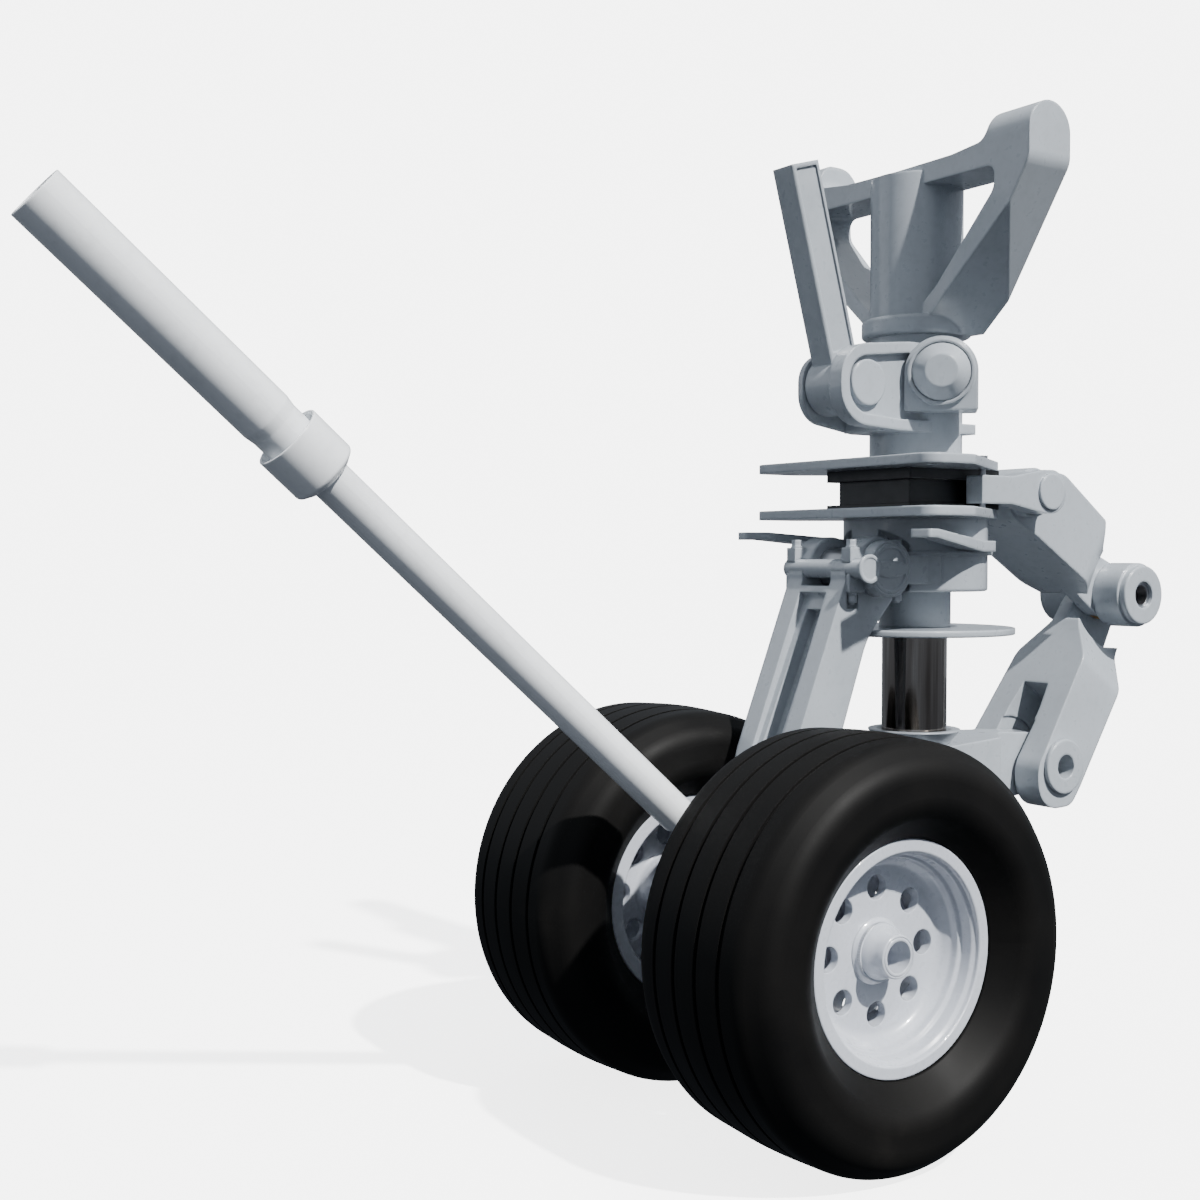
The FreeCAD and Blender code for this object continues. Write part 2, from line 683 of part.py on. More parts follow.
def drag_arm():
    beam = slab_x([
        (SHAFT_Y, SHAFT_Z - 2.0, 0.0),
        (TIE_Y - TIE_RADIUS, SHAFT_Z - 2.0, 0.0),
        (ARM_FRONT_Y, ARM_FRONT_Z, 20.0),
        (arm_front(ARM_FOOT_Z), ARM_FOOT_Z, 60.0),
        (ELBOW_Y - 22.0, ELBOW_Z + 34.0, 30.0),
        (ELBOW_Y + 22.0, ELBOW_Z - 34.0, 30.0),
        (arm_front(ARM_FOOT_Z) + ARM_DEPTH, ARM_FOOT_Z - 26.0, 70.0),
        (arm_front(-964.0) + ARM_DEPTH, -964.0, 160.0),
        (SHAFT_Y + SHAFT_BOSS_RADIUS - 2.0, SHAFT_Z - 50.0, 18.0),
        (SHAFT_Y + SHAFT_BOSS_RADIUS - 2.0, SHAFT_Z - 2.0, 0.0),
    ], -ARM_HALF_WIDTH, ARM_HALF_WIDTH)
    taper = slab_y([
        (-ARM_HALF_WIDTH, -780.0, 0.0),
        (ARM_HALF_WIDTH, -780.0, 0.0),
        (ARM_HALF_WIDTH, -1195.0, 60.0),
        (45.0, -1275.0, 60.0),
        (45.0, -1420.0, 0.0),
        (-45.0, -1420.0, 0.0),
        (-45.0, -1275.0, 60.0),
        (-ARM_HALF_WIDTH, -1195.0, 60.0),
    ], -700, 0)
    body = beam.common(taper)
    body = body.cut(box(-CLAMP_INNER_X, CLAMP_INNER_X, -400, 0, -862, -780))
    body = body.cut(box(-CLAMP_INNER_X, CLAMP_INNER_X, -163, 0, -882, -780))
    body = body.cut(arm_channel(14.0, 39.0, -866.0, -1190.0))
    body = body.cut(arm_channel(44.0, 23.0, -900.0, -1170.0))
    body = body.cut(rear_channel(30.0, 39.0, -900.0, -1170.0))
    saddle = rod_x(CLAMP_INNER_X, CLAMP_OUTER_X, SHAFT_Y, SHAFT_Z, SHAFT_BOSS_RADIUS)
    saddle = saddle.common(box(0, 200, -400, 0, -1000, SHAFT_Z - 2.0))
    front_ear = box(EAR_INNER_X, EAR_OUTER_X, TIE_Y - 17, SHAFT_Y - 40, -874, SHAFT_Z - 2.0)
    rear_ear = box(EAR_INNER_X, EAR_OUTER_X, SHAFT_Y + 40, REAR_BOLT_Y + 11, -872, SHAFT_Z - 2.0)
    clamp = saddle.fuse(front_ear).fuse(rear_ear)
    body = body.fuse(clamp).fuse(mirrored(clamp))
    body = body.cut(rod_x(-130, 130, SHAFT_Y, SHAFT_Z, SHAFT_RADIUS))
    body = body.cut(rod_x(-130, 130, TIE_Y, SHAFT_Z, TIE_RADIUS))
    for side in (1, -1):
        for bolt_y, seat_z in ((TIE_Y, -874.0), (REAR_BOLT_Y, -872.0)):
            body = body.cut(rod_z(side * CLAMP_BOLT_X, bolt_y, -900, -780, CLAMP_BOLT_RADIUS))
            body = body.cut(rod_z(side * CLAMP_BOLT_X, bolt_y, seat_z - 32, seat_z, 15.0))
    body = body.cut(rod_x(-24, 24, ELBOW_Y, ELBOW_Z, ELBOW_RADIUS + 16.0))
    return body.cut(rod_x(-60, 60, ELBOW_Y, ELBOW_Z, ELBOW_PIN_RADIUS))


def clamp_cap():
    """Right-hand upper half of the clamp around the cross shaft."""
    arch = rod_x(CLAMP_INNER_X, CLAMP_OUTER_X, SHAFT_Y, SHAFT_Z, 64.0)
    arch = soften(arch, 5.0, lambda edge: edge.BoundBox.XLength < 1)
    front_ear = box(EAR_INNER_X, EAR_OUTER_X, TIE_Y - 15, SHAFT_Y, SHAFT_Z, -786)
    rear_ear = box(EAR_INNER_X, EAR_OUTER_X, SHAFT_Y, REAR_BOLT_Y + 11, SHAFT_Z, -786)
    cap = arch.fuse(front_ear).fuse(rear_ear)
    cap = cap.common(box(0, 200, -400, 0, SHAFT_Z + 1.0, -700))
    for bolt_y in (TIE_Y, REAR_BOLT_Y):
        cap = cap.cut(rod_z(CLAMP_BOLT_X, bolt_y, -900, -700, CLAMP_BOLT_RADIUS))
        cap = cap.cut(rod_z(CLAMP_BOLT_X, bolt_y, -786, -700, 13.5))
    cap = cap.cut(rod_x(-130, 130, SHAFT_Y, SHAFT_Z, SHAFT_RADIUS))
    return cap.cut(rod_x(-130, 130, TIE_Y, SHAFT_Z, TIE_RADIUS))


def clamp_bolt(side, bolt_y, bottom):
    x = side * CLAMP_BOLT_X
    shank = rod_z(x, bolt_y, bottom, -786, CLAMP_BOLT_RADIUS)
    washer = rod_z(x, bolt_y, -786, -783, 12.0)
    return shank.fuse(washer).fuse(hexagon_z(x, bolt_y, -783, -770, 10.5))


def clamp_nut(side, bolt_y, seat_z):
    x = side * CLAMP_BOLT_X
    washer = rod_z(x, bolt_y, seat_z - 4, seat_z, 13.0)
    nut = washer.fuse(hexagon_z(x, bolt_y, seat_z - 20, seat_z - 4, 11.0))
    return nut.cut(rod_z(x, bolt_y, -910, -780, CLAMP_BOLT_RADIUS))


def tie_tube():
    shank = rod_x(-100, 126, TIE_Y, SHAFT_Z, TIE_RADIUS)
    head = turned_x([
        (125.5, 0.0, 0.0),
        (125.5, 25.0, 0.0),
        (130.0, 28.5, 1.0),
        (135.0, 28.5, 2.0),
        (135.0, 22.0, 0.0),
        (133.5, 20.5, 0.0),
        (133.5, 0.0, 0.0),
    ], TIE_Y, SHAFT_Z)
    body = shank.fuse(head)
    for side in (1, -1):
        body = body.cut(rod_z(side * CLAMP_BOLT_X, TIE_Y, -900, -780, CLAMP_BOLT_RADIUS))
    return body


def elbow_pin():
    shank = rod_x(-50, 50, ELBOW_Y, ELBOW_Z, ELBOW_PIN_RADIUS)
    head = rod_x(45, 52, ELBOW_Y, ELBOW_Z, 24.0)
    return shank.fuse(head).fuse(mirrored(head))


# ---- telescopic bar -----------------------------------------------------
def along_bar(shape):
    """Place a piece drawn along +Z, from the elbow, onto the bar's line."""
    placed = shape.copy()
    placed.rotate(Vec(0, 0, 0), Vec(1, 0, 0), 90.0 - BAR_ANGLE)
    placed.translate(Vec(0, ELBOW_Y, ELBOW_Z))
    return placed


def bar_rod():
    shank = turned_z([
        (0.0, 52.0, 0.0),
        (24.0, 52.0, 0.0),
        (ROD_RADIUS, 74.0, 10.0),
        (ROD_RADIUS, ROD_END, 0.0),
        (0.0, ROD_END, 0.0),
    ])
    neck = box(-23, 23, -24, 24, 0, 62)
    eye = rod_x(-23, 23, 0, 0, ELBOW_RADIUS - 4.0)
    hole = rod_x(-40, 40, 0, 0, ELBOW_PIN_RADIUS + RUNNING_FIT)
    hollow = rod_z(0, 0, 160, ROD_END + 1, ROD_RADIUS - 8.0)
    return along_bar(shank.fuse(neck).fuse(eye).cut(hole).cut(hollow))


def rod_guide_ring():
    ring = turned_z([
        (ROD_RADIUS - 8.0, ROD_END, 0.0),
        (BAR_TUBE_BORE - RUNNING_FIT, ROD_END, 0.0),
        (BAR_TUBE_BORE - RUNNING_FIT, ROD_END + 20.0, 0.0),
        (ROD_RADIUS - 8.0, ROD_END + 20.0, 0.0),
    ])
    return along_bar(ring)


def bar_tube():
    return along_bar(turned_z([
        (BAR_TUBE_BORE, BAR_COLLAR_START + 34.0, 0.0),
        (BAR_TUBE_RADIUS - 3.0, BAR_COLLAR_START + 34.0, 0.0),
        (BAR_TUBE_RADIUS - 3.0, BAR_COLLAR_END + 28.0, 6.0),
        (BAR_TUBE_RADIUS, BAR_COLLAR_END + 46.0, 6.0),
        (BAR_TUBE_RADIUS, BAR_LENGTH, 1.5),
        (BAR_TUBE_BORE, BAR_LENGTH, 0.0),
    ]))


def bar_collar():
    """Cup-shaped gland nut: closed around the rod, open towards the tube."""
    return along_bar(turned_z([
        (ROD_RADIUS + RUNNING_FIT, BAR_COLLAR_START, 0.0),
        (BAR_COLLAR_RADIUS - 16.0, BAR_COLLAR_START, 3.0),
        (BAR_COLLAR_RADIUS, BAR_COLLAR_START + 10.0, 8.0),
        (BAR_COLLAR_RADIUS, BAR_COLLAR_END, 1.5),
        (BAR_COLLAR_RADIUS - 5.0, BAR_COLLAR_END, 1.5),
        (BAR_COLLAR_RADIUS - 5.0, BAR_COLLAR_END - 24.0, 3.0),
        (BAR_TUBE_RADIUS - 3.0, BAR_COLLAR_END - 24.0, 0.0),
        (BAR_TUBE_RADIUS - 3.0, BAR_COLLAR_START + 34.0, 0.0),
        (ROD_RADIUS + RUNNING_FIT, BAR_COLLAR_START + 34.0, 0.0),
    ]))


def bar_end_plug():
    return along_bar(turned_z([
        (0.0, BAR_LENGTH - 90.0, 0.0),
        (BAR_TUBE_BORE, BAR_LENGTH - 90.0, 0.0),
        (BAR_TUBE_BORE, BAR_LENGTH - 1.0, 1.0),
        (20.0, BAR_LENGTH - 1.0, 0.0),
        (20.0, BAR_LENGTH - 61.0, 0.0),
        (0.0, BAR_LENGTH - 61.0, 0.0),
    ]))


# ---- torque links -------------------------------------------------------
def link_plan(length_way, pivot, root, wide, narrow, neck):
    """Plan outline of a torque link as a prism that narrows towards the apex."""
    reach = length_way.Length
    corners = [
        (-120.0, -root, 0.0),
        (neck - 90.0, -wide, 60.0),
        (neck, -narrow, 40.0),
        (reach + 120.0, -narrow, 0.0),
        (reach + 120.0, narrow, 0.0),
        (neck, narrow, 40.0),
        (neck - 90.0, wide, 60.0),
        (-120.0, root, 0.0),
    ]
    face = Part.Face(outline(corners))
    prism = face.extrude(Vec(0, 0, 800))
    prism.translate(Vec(0, 0, -400))
    prism.rotate(Vec(0, 0, 0), Vec(0, 0, 1), 90)
    slope = math.degrees(math.atan2(length_way.z, length_way.y))
    prism.rotate(Vec(0, 0, 0), Vec(1, 0, 0), slope)
    prism.translate(pivot)
    return prism


def apex_half(x_low, x_high):
    """What the other link's lug and barrel take out of a torque link at the apex."""
    return rod_x(x_low, x_high, APEX_Y, APEX_Z, 125.0)


def upper_torque_link():
    pivot = Vec(0, UPPER_PIN_Y, UPPER_PIN_Z)
    way = Vec(0, APEX_Y - UPPER_PIN_Y, APEX_Z - UPPER_PIN_Z)
    beam = slab_x([
        (UPPER_PIN_Y - 46.0, UPPER_PIN_Z + 46.0, 44.0),
        (352.0, -624.0, 60.0),
        (493.0, -724.0, 12.0),
        (495.0, -782.0, 30.0),
        (640.0, -842.0, 50.0),
        (655.0, -950.0, 50.0),
        (540.0, -936.0, 50.0),
        (419.0, -852.0, 80.0),
        (268.0, -760.0, 60.0),
        (UPPER_PIN_Y - 46.0, UPPER_PIN_Z - 46.0, 44.0),
    ], -122, 122)
    body = beam.common(link_plan(way, pivot, 95.0, 95.0, 36.0, 365.0))
    barrel = rod_x(-122, 122, UPPER_PIN_Y, UPPER_PIN_Z, 52.0)
    body = body.fuse(barrel)
    body = body.cut(apex_half(-200, 2.5))
    body = body.cut(apex_half(36, 200))
    body = body.cut(rod_x(-200, 200, UPPER_PIN_Y, UPPER_PIN_Z, LINK_PIN_RADIUS + RUNNING_FIT))
    return body.cut(rod_x(-200, 200, APEX_Y, APEX_Z, APEX_PIN_RADIUS + APEX_PLAY))


def lower_torque_link():
    pivot = Vec(0, LOWER_PIN_Y, LOWER_PIN_Z)
    way = Vec(0, APEX_Y - LOWER_PIN_Y, APEX_Z - LOWER_PIN_Z)
    beam = slab_x([
        (LOWER_PIN_Y - 78.0, LOWER_PIN_Z + 3.0, 60.0),
        (505.0, -908.0, 30.0),
        (560.0, -850.0, 50.0),
        (645.0, -850.0, 50.0),
        (650.0, -940.0, 50.0),
        (600.0, -1040.0, 30.0),
        (541.0, -1111.0, 30.0),
        (LOWER_PIN_Y + 30.0, LOWER_PIN_Z - 88.0, 40.0),
        (LOWER_PIN_Y - 72.0, LOWER_PIN_Z - 92.0, 60.0),
    ], -LOWER_LINK_HALF, LOWER_LINK_HALF)
    body = beam.common(link_plan(way, pivot, 117.0, 95.0, 36.0, 333.0))
    slot = link_plan(way, pivot, FORK_INNER_X, 42.0, 30.0, 190.0)
    blind = rod(pivot + way * 0.37, pivot + way * 1.4, 400.0)
    slot = slot.cut(blind)
    body = body.cut(slot)
    body = body.cut(rod_x(-FORK_INNER_X, FORK_INNER_X, LOWER_PIN_Y, LOWER_PIN_Z, 96.0))
    body = body.cut(apex_half(-2.5, 200))
    body = body.cut(apex_half(-200, -36))
    body = body.cut(rod_x(-200, 200, LOWER_PIN_Y, LOWER_PIN_Z, 36.0 + RUNNING_FIT))
    return body.cut(rod_x(-200, 200, APEX_Y, APEX_Z, APEX_PIN_RADIUS))


def lower_torque_pin():
    shank = rod_x(-LOWER_LINK_HALF - 1, LOWER_LINK_HALF + 1, LOWER_PIN_Y, LOWER_PIN_Z, 36.0)
    head = turned_x([
        (LOWER_LINK_HALF + 0.5, 0.0, 0.0),
        (LOWER_LINK_HALF + 0.5, 59.0, 0.0),
        (LOWER_LINK_HALF + 10.0, 59.0, 3.0),
        (LOWER_LINK_HALF + 10.0, 0.0, 0.0),
    ], LOWER_PIN_Y, LOWER_PIN_Z)
    hollow = rod_x(-170, 170, LOWER_PIN_Y, LOWER_PIN_Z, 26.0)
    return shank.fuse(head).fuse(mirrored(head)).cut(hollow)


def apex_barrel(side):
    barrel = turned_x([
        (side * 36.5, APEX_PIN_RADIUS, 0.0),
        (side * 36.5, 72.0, 0.0),
        (side * 104.0, 72.0, 1.5),
        (side * 104.0, 66.0, 0.0),
        (side * 120.0, 66.0, 4.0),
        (side * 120.0, APEX_PIN_RADIUS, 0.0),
    ], APEX_Y, APEX_Z)
    return barrel


def apex_pin():
    pin = rod_x(-112, 112, APEX_Y, APEX_Z, APEX_PIN_RADIUS)
    return pin.cut(rod_x(-130, 130, APEX_Y, APEX_Z, APEX_PIN_RADIUS - 8.0))


def apex_washer():
    outer = rod_x(-2.0, 2.0, APEX_Y, APEX_Z, 58.0)
    return outer.cut(rod_x(-3, 3, APEX_Y, APEX_Z, APEX_PIN_RADIUS))


# ---- piston, axle fitting and axle --------------------------------------
def piston():
    return turned_z([
        (PISTON_BORE, PISTON_BOTTOM, 0.0),
        (PISTON_RADIUS, PISTON_BOTTOM, 0.0),
        (PISTON_RADIUS, PISTON_TOP, 2.0),
        (PISTON_BORE, PISTON_TOP, 0.0),
    ])


def piston_bearing():
    return turned_z([
        (PISTON_RADIUS, PISTON_TOP - 60.0, 0.0),
        (BORE_RADIUS - RUNNING_FIT, PISTON_TOP - 60.0, 0.0),
        (BORE_RADIUS - RUNNING_FIT, PISTON_TOP - 8.0, 0.0),
        (PISTON_RADIUS, PISTON_TOP - 8.0, 0.0),
    ])


def metering_pin():
    return turned_z([
        (0.0, PISTON_BOTTOM, 0.0),
        (PISTON_BORE, PISTON_BOTTOM, 0.0),
        (PISTON_BORE, PISTON_BOTTOM + 20.0, 0.0),
        (14.0, PISTON_BOTTOM + 20.0, 0.0),
        (8.0, -760.0, 0.0),
        (5.0, -640.0, 0.0),
        (0.0, -640.0, 0.0),
    ])


def axle_fitting():
    funnel = turned_z([
        (0.0, -1332.0, 0.0),
        (86.0, -1332.0, 12.0),
        (86.0, -1212.0, 10.0),
        (68.0, -1197.0, 0.0),
        (95.0, -1166.0, 0.0),
        (95.0, -1163.0, 1.0),
        (78.0, -1163.0, 1.0),
        (PISTON_RADIUS, -1175.0, 0.0),
        (PISTON_RADIUS, PISTON_BOTTOM, 0.0),
        (0.0, PISTON_BOTTOM, 0.0),
    ])
    aft_beam = slab_z([
        (-83.0, -60.0, 0.0),
        (83.0, -60.0, 0.0),
        (83.0, 172.0, 4.0),
        (38.0, 214.0, 4.0),
        (38.0, 450.0, 0.0),
        (-38.0, 450.0, 0.0),
        (-38.0, 214.0, 4.0),
        (-83.0, 172.0, 4.0),
    ], -1400, -1150)
    aft_side = slab_x([
        (-60.0, -1200.0, 0.0),
        (230.0, -1182.0, 60.0),
        (LOWER_PIN_Y + 62.0, LOWER_PIN_Z + 62.0, 60.0),
        (LOWER_PIN_Y + 62.0, LOWER_PIN_Z - 62.0, 60.0),
        (200.0, -1326.0, 30.0),
        (-60.0, -1326.0, 0.0),
    ], -90, 90)
    beam = aft_beam.common(aft_side)
    collar = rod_x(-43, 43, LOWER_PIN_Y, LOWER_PIN_Z, 52.0)
    forward = slab_x([
        (40.0, -1214.0, 0.0),
        (-60.0, -1214.0, 30.0),
        (AXLE_Y + 10.0, AXLE_Z + 50.0, 0.0),
        (AXLE_Y - 10.0, AXLE_Z - 50.0, 0.0),
        (-80.0, -1340.0, 60.0),
        (40.0, -1332.0, 0.0),
    ], -62, 62)
    lighten = slab_x([
        (-110.0, -1270.0, 12.0),
        (AXLE_Y + 90.0, AXLE_Z + 86.0, 12.0),
        (AXLE_Y + 92.0, AXLE_Z + 22.0, 12.0),
        (-110.0, -1318.0, 12.0),
    ], 44, 70)
    forward = forward.cut(lighten).cut(mirrored(lighten))
    barrel = rod_x(-112, 112, AXLE_Y, AXLE_Z, 58.0)
    body = funnel.fuse(beam).fuse(collar).fuse(forward).fuse(barrel)
    body = body.cut(rod_x(-200, 200, AXLE_Y, AXLE_Z, 44.0))
    body = body.cut(rod_z(0, 0, PISTON_BOTTOM, -1100, PISTON_RADIUS))
    body = body.cut(rod_x(-90, 90, LOWER_PIN_Y, LOWER_PIN_Z, 36.0))
    return body


def axle():
    half = [
        (0.0, 0.0, 0.0),
        (0.0, 44.0, 0.0),
        (112.0, 44.0, 0.0),
        (112.0, 50.0, 0.0),
        (118.0, 50.0, 2.0),
        (124.0, AXLE_RADIUS, 0.0),
        (AXLE_END_X, AXLE_RADIUS, 2.0),
        (AXLE_END_X, AXLE_BORE, 0.0),
        (AXLE_END_X - 60.0, AXLE_BORE, 0.0),
        (AXLE_END_X - 60.0, 0.0, 0.0),
    ]
    right = turned_x(half, AXLE_Y, AXLE_Z)
    return right.fuse(mirrored(right))


def axle_nut():
    return turned_x([
        (370.0, AXLE_RADIUS, 0.0),
        (370.0, 42.0, 1.0),
        (377.0, 42.0, 2.0),
        (377.0, AXLE_RADIUS, 0.0),
    ], AXLE_Y, AXLE_Z)


# ---- right wheel; the left one is the same, turned to face the other way -
def tyre():
    shoulder_x = TYRE_HALF_WIDTH - 26.0
    profile = outline([
        (-RIM_HALF_WIDTH + 11.0, BEAD_RADIUS, 4.5),
        (-RIM_HALF_WIDTH + 6.5, RIM_RADIUS + 0.5, 1.0),
        (-RIM_HALF_WIDTH - 2.0, RIM_RADIUS + 2.0, 3.0),
        (-TYRE_HALF_WIDTH - 2.0, 262.0, 50.0),
        (-TYRE_HALF_WIDTH + 2.0, 336.0, 50.0),
        (-shoulder_x + 22.0, TYRE_RADIUS - 6.0, 40.0),
        (0.0, TYRE_RADIUS + 1.0, 900.0),
        (shoulder_x - 22.0, TYRE_RADIUS - 6.0, 40.0),
        (TYRE_HALF_WIDTH - 2.0, 336.0, 50.0),
        (TYRE_HALF_WIDTH + 2.0, 262.0, 50.0),
        (RIM_HALF_WIDTH + 2.0, RIM_RADIUS + 2.0, 3.0),
        (RIM_HALF_WIDTH - 6.5, RIM_RADIUS + 0.5, 1.0),
        (RIM_HALF_WIDTH - 11.0, BEAD_RADIUS, 4.5),
        (RIM_HALF_WIDTH - 38.0, BEAD_RADIUS, 3.0),
        (RIM_HALF_WIDTH - 40.0, 214.0, 14.0),
        (TYRE_HALF_WIDTH - 20.0, 268.0, 40.0),
        (TYRE_HALF_WIDTH - 22.0, 328.0, 40.0),
        (shoulder_x - 30.0, TYRE_RADIUS - 26.0, 30.0),
        (-shoulder_x + 30.0, TYRE_RADIUS - 26.0, 30.0),
        (-TYRE_HALF_WIDTH + 22.0, 328.0, 40.0),
        (-TYRE_HALF_WIDTH + 20.0, 268.0, 40.0),
        (-RIM_HALF_WIDTH + 40.0, 214.0, 14.0),
        (-RIM_HALF_WIDTH + 38.0, BEAD_RADIUS, 3.0),
    ])
    body = Part.Face(profile).revolve(Vec(0, 0, 0), Vec(1, 0, 0), 360)
    for x in (-86.0, -29.0, 29.0, 86.0):
        groove = rod_x(x - 4.5, x + 4.5, 0, 0, TYRE_RADIUS + 5)
        body = body.cut(groove.cut(rod_x(x - 5, x + 5, 0, 0, TYRE_RADIUS - 9.0)))
    body.translate(Vec(WHEEL_X, AXLE_Y, AXLE_Z))
    return body


def wheel_turned(corners):
    moved = []
    for x, radius, corner in corners:
        moved.append((WHEEL_X + x, radius, corner))
    return turned_x(moved, AXLE_Y, AXLE_Z)


def around_wheel(index, radius, offset):
    angle = math.radians(45.0 * index + offset)
    return AXLE_Y + radius * math.sin(angle), AXLE_Z + radius * math.cos(angle)


def outer_rim():
    body = wheel_turned([
        (0.0, 178.0, 6.0),
        (20.0, 178.0, 8.0),
        (30.0, BEAD_RADIUS, 3.0),
        (RIM_HALF_WIDTH - 10.5, BEAD_RADIUS, 3.0),
        (RIM_HALF_WIDTH - 6.0, RIM_RADIUS, 2.0),
        (RIM_HALF_WIDTH, RIM_RADIUS, 2.5),
        (RIM_HALF_WIDTH, 184.0, 3.0),
        (118.0, 183.0, 3.0),
        (112.0, 177.0, 4.0),
        (92.0, 175.0, 3.0),
        (88.0, 168.0, 4.0),
        (76.0, 166.0, 12.0),
        (56.0, 150.0, 22.0),
        (56.0, 54.0, 8.0),
        (68.0, 46.0, 6.0),
        (74.0, 46.0, 0.0),
        (74.0, 42.5, 0.0),
        (70.0, 42.5, 0.0),
        (70.0, 52.0, 0.0),
        (30.0, 52.0, 0.0),
        (30.0, 62.0, 5.0),
        (38.0, 70.0, 8.0),
        (38.0, 128.0, 8.0),
        (26.0, 136.0, 6.0),
        (0.0, 136.0, 0.0),
    ])
    for index in range(8):
        hole_y, hole_z = around_wheel(index, 112.0, 0.0)
        body = body.cut(rod_x(WHEEL_X, WHEEL_X + 80, hole_y, hole_z, 22.5))
        bolt_y, bolt_z = around_wheel(index, 150.0, 22.5)
        body = body.cut(rod_x(WHEEL_X - 1, WHEEL_X + 22, bolt_y, bolt_z, 5.0))
    return body


def inner_rim():
    body = wheel_turned([
        (0.0, 178.0, 6.0),
        (-20.0, 178.0, 8.0),
        (-30.0, BEAD_RADIUS, 3.0),
        (-RIM_HALF_WIDTH + 10.5, BEAD_RADIUS, 3.0),
        (-RIM_HALF_WIDTH + 6.0, RIM_RADIUS, 2.0),
        (-RIM_HALF_WIDTH, RIM_RADIUS, 2.5),
        (-RIM_HALF_WIDTH, 180.0, 3.0),
        (-100.0, 168.0, 20.0),
        (-20.0, 166.0, 10.0),
        (-20.0, 70.0, 10.0),
        (-96.0, 64.0, 6.0),
        (-96.0, 52.0, 0.0),
        (-40.0, 52.0, 0.0),
        (-40.0, 42.0, 0.0),
        (-6.0, 42.0, 0.0),
        (-6.0, 128.0, 4.0),
        (0.0, 134.0, 4.0),
    ])
    for index in range(8):
        hole_y, hole_z = around_wheel(index, 112.0, 0.0)
        body = body.cut(rod_x(WHEEL_X - 60, WHEEL_X + 10, hole_y, hole_z, 22.5))
        bolt_y, bolt_z = around_wheel(index, 150.0, 22.5)
        body = body.cut(rod_x(WHEEL_X - 40, WHEEL_X + 1, bolt_y, bolt_z, 5.0))
    return body


def tie_bolt(index):
    bolt_y, bolt_z = around_wheel(index, 150.0, 22.5)
    shank = rod_x(WHEEL_X - 20, WHEEL_X + 21, bolt_y, bolt_z, 5.0)
    head = rod_x(WHEEL_X - 28, WHEEL_X - 20.2, bolt_y, bolt_z, 8.5)
    return shank.fuse(head)


def wheel_bearing(x_low, x_high):
    ring = wheel_turned([
        (x_low, AXLE_RADIUS + RUNNING_FIT, 0.0),
        (x_low, 52.0, 0.0),
        (x_high, 52.0, 0.0),
        (x_high, AXLE_RADIUS + RUNNING_FIT, 0.0),
    ])
    return ring


def hub_cover():
    """Dark domed cover around the axle, on the inner side of the wheel."""
    return wheel_turned([
        (-96.2, 56.0, 0.0),
        (-96.2, 88.0, 0.0),
        (-134.0, 88.0, 22.0),
        (-150.0, 56.0, 14.0),
        (-150.0, 51.0, 0.0),
    ])


# ---- assembly -----------------------------------------------------------
def make_main_group():
    fitting = main_fitting()
    keep("main_fitting", fitting)
    keep("cylinder_cap", cylinder_cap())
    keep("charging_valve", charging_valve())
    keep("orifice_tube", orifice_tube())
    keep("lower_bearing", lower_bearing())
    keep("gland_flange", gland_flange())
    keep("boss_block", boss_block(fitting))
    keep("boss_cone", boss_cone())
    near_bush = link_bush(LUG_PLATE_INNER, LUG_PLATE_OUTER - 13.0)
    keep("link_bushes", near_bush, link_bush(FAR_LUG_INNER, FAR_LUG_OUTER))
    keep("link_pin", link_pin())
    keep("upper_link_post", upper_link_post())


def make_steering_group():
    keep("upper_plate", steering_plate(UPPER_PLATE_TOP))
    keep("lower_plate", steering_plate(LOWER_PLATE_TOP))
    keep("steering_box", steering_box())
    keep("torque_bracket", torque_bracket())
    keep("plate_bolts", plate_bolt(1), plate_bolt(-1))
    keep("upper_torque_pin", upper_torque_pin())
    keep("steering_collar", steering_collar())
    keep("steering_bushes", steering_bush(-752, -728), steering_bush(-868, -840))
    keep("shaft_end_caps", shaft_end_cap(), mirrored(shaft_end_cap()))
    keep("horn_right", steering_horn())
    keep("horn_left", mirrored(steering_horn()))


def make_arm_group():
    keep("drag_arm", drag_arm())
    shaft_length = BOSS_OUTER_X - 6.5
    keep("cross_shaft", rod_x(-shaft_length, shaft_length, SHAFT_Y, SHAFT_Z, SHAFT_RADIUS))
    keep("clamp_caps", clamp_cap(), mirrored(clamp_cap()))
    bolts = []
    nuts = []
    for side in (1, -1):
        bolts.append(clamp_bolt(side, TIE_Y, -898))
        bolts.append(clamp_bolt(side, REAR_BOLT_Y, -896))
        nuts.append(clamp_nut(side, TIE_Y, -874))
        nuts.append(clamp_nut(side, REAR_BOLT_Y, -872))
    keep("clamp_bolts", *bolts)
    keep("clamp_nuts", *nuts)
    keep("tie_tube", tie_tube())
    keep("elbow_pin", elbow_pin())


def make_bar_group():
    keep("bar_rod", bar_rod())
    keep("rod_guide_ring", rod_guide_ring())
    keep("bar_tube", bar_tube())
    keep("bar_collar", bar_collar())
    keep("bar_end_plug", bar_end_plug())


def make_torque_links():
    keep("upper_torque_link", upper_torque_link())
    keep("lower_torque_link", lower_torque_link())
    keep("lower_torque_pin", lower_torque_pin())
    keep("apex_barrels", apex_barrel(1), apex_barrel(-1))
    keep("apex_pin", apex_pin())
    keep("apex_washer", apex_washer())


def make_piston_group():
    keep("piston", piston())
    keep("piston_bearing", piston_bearing())
    keep("metering_pin", metering_pin())
    keep("axle_fitting", axle_fitting())
    keep("axle", axle())
    keep("axle_nuts", axle_nut(), mirrored(axle_nut()))


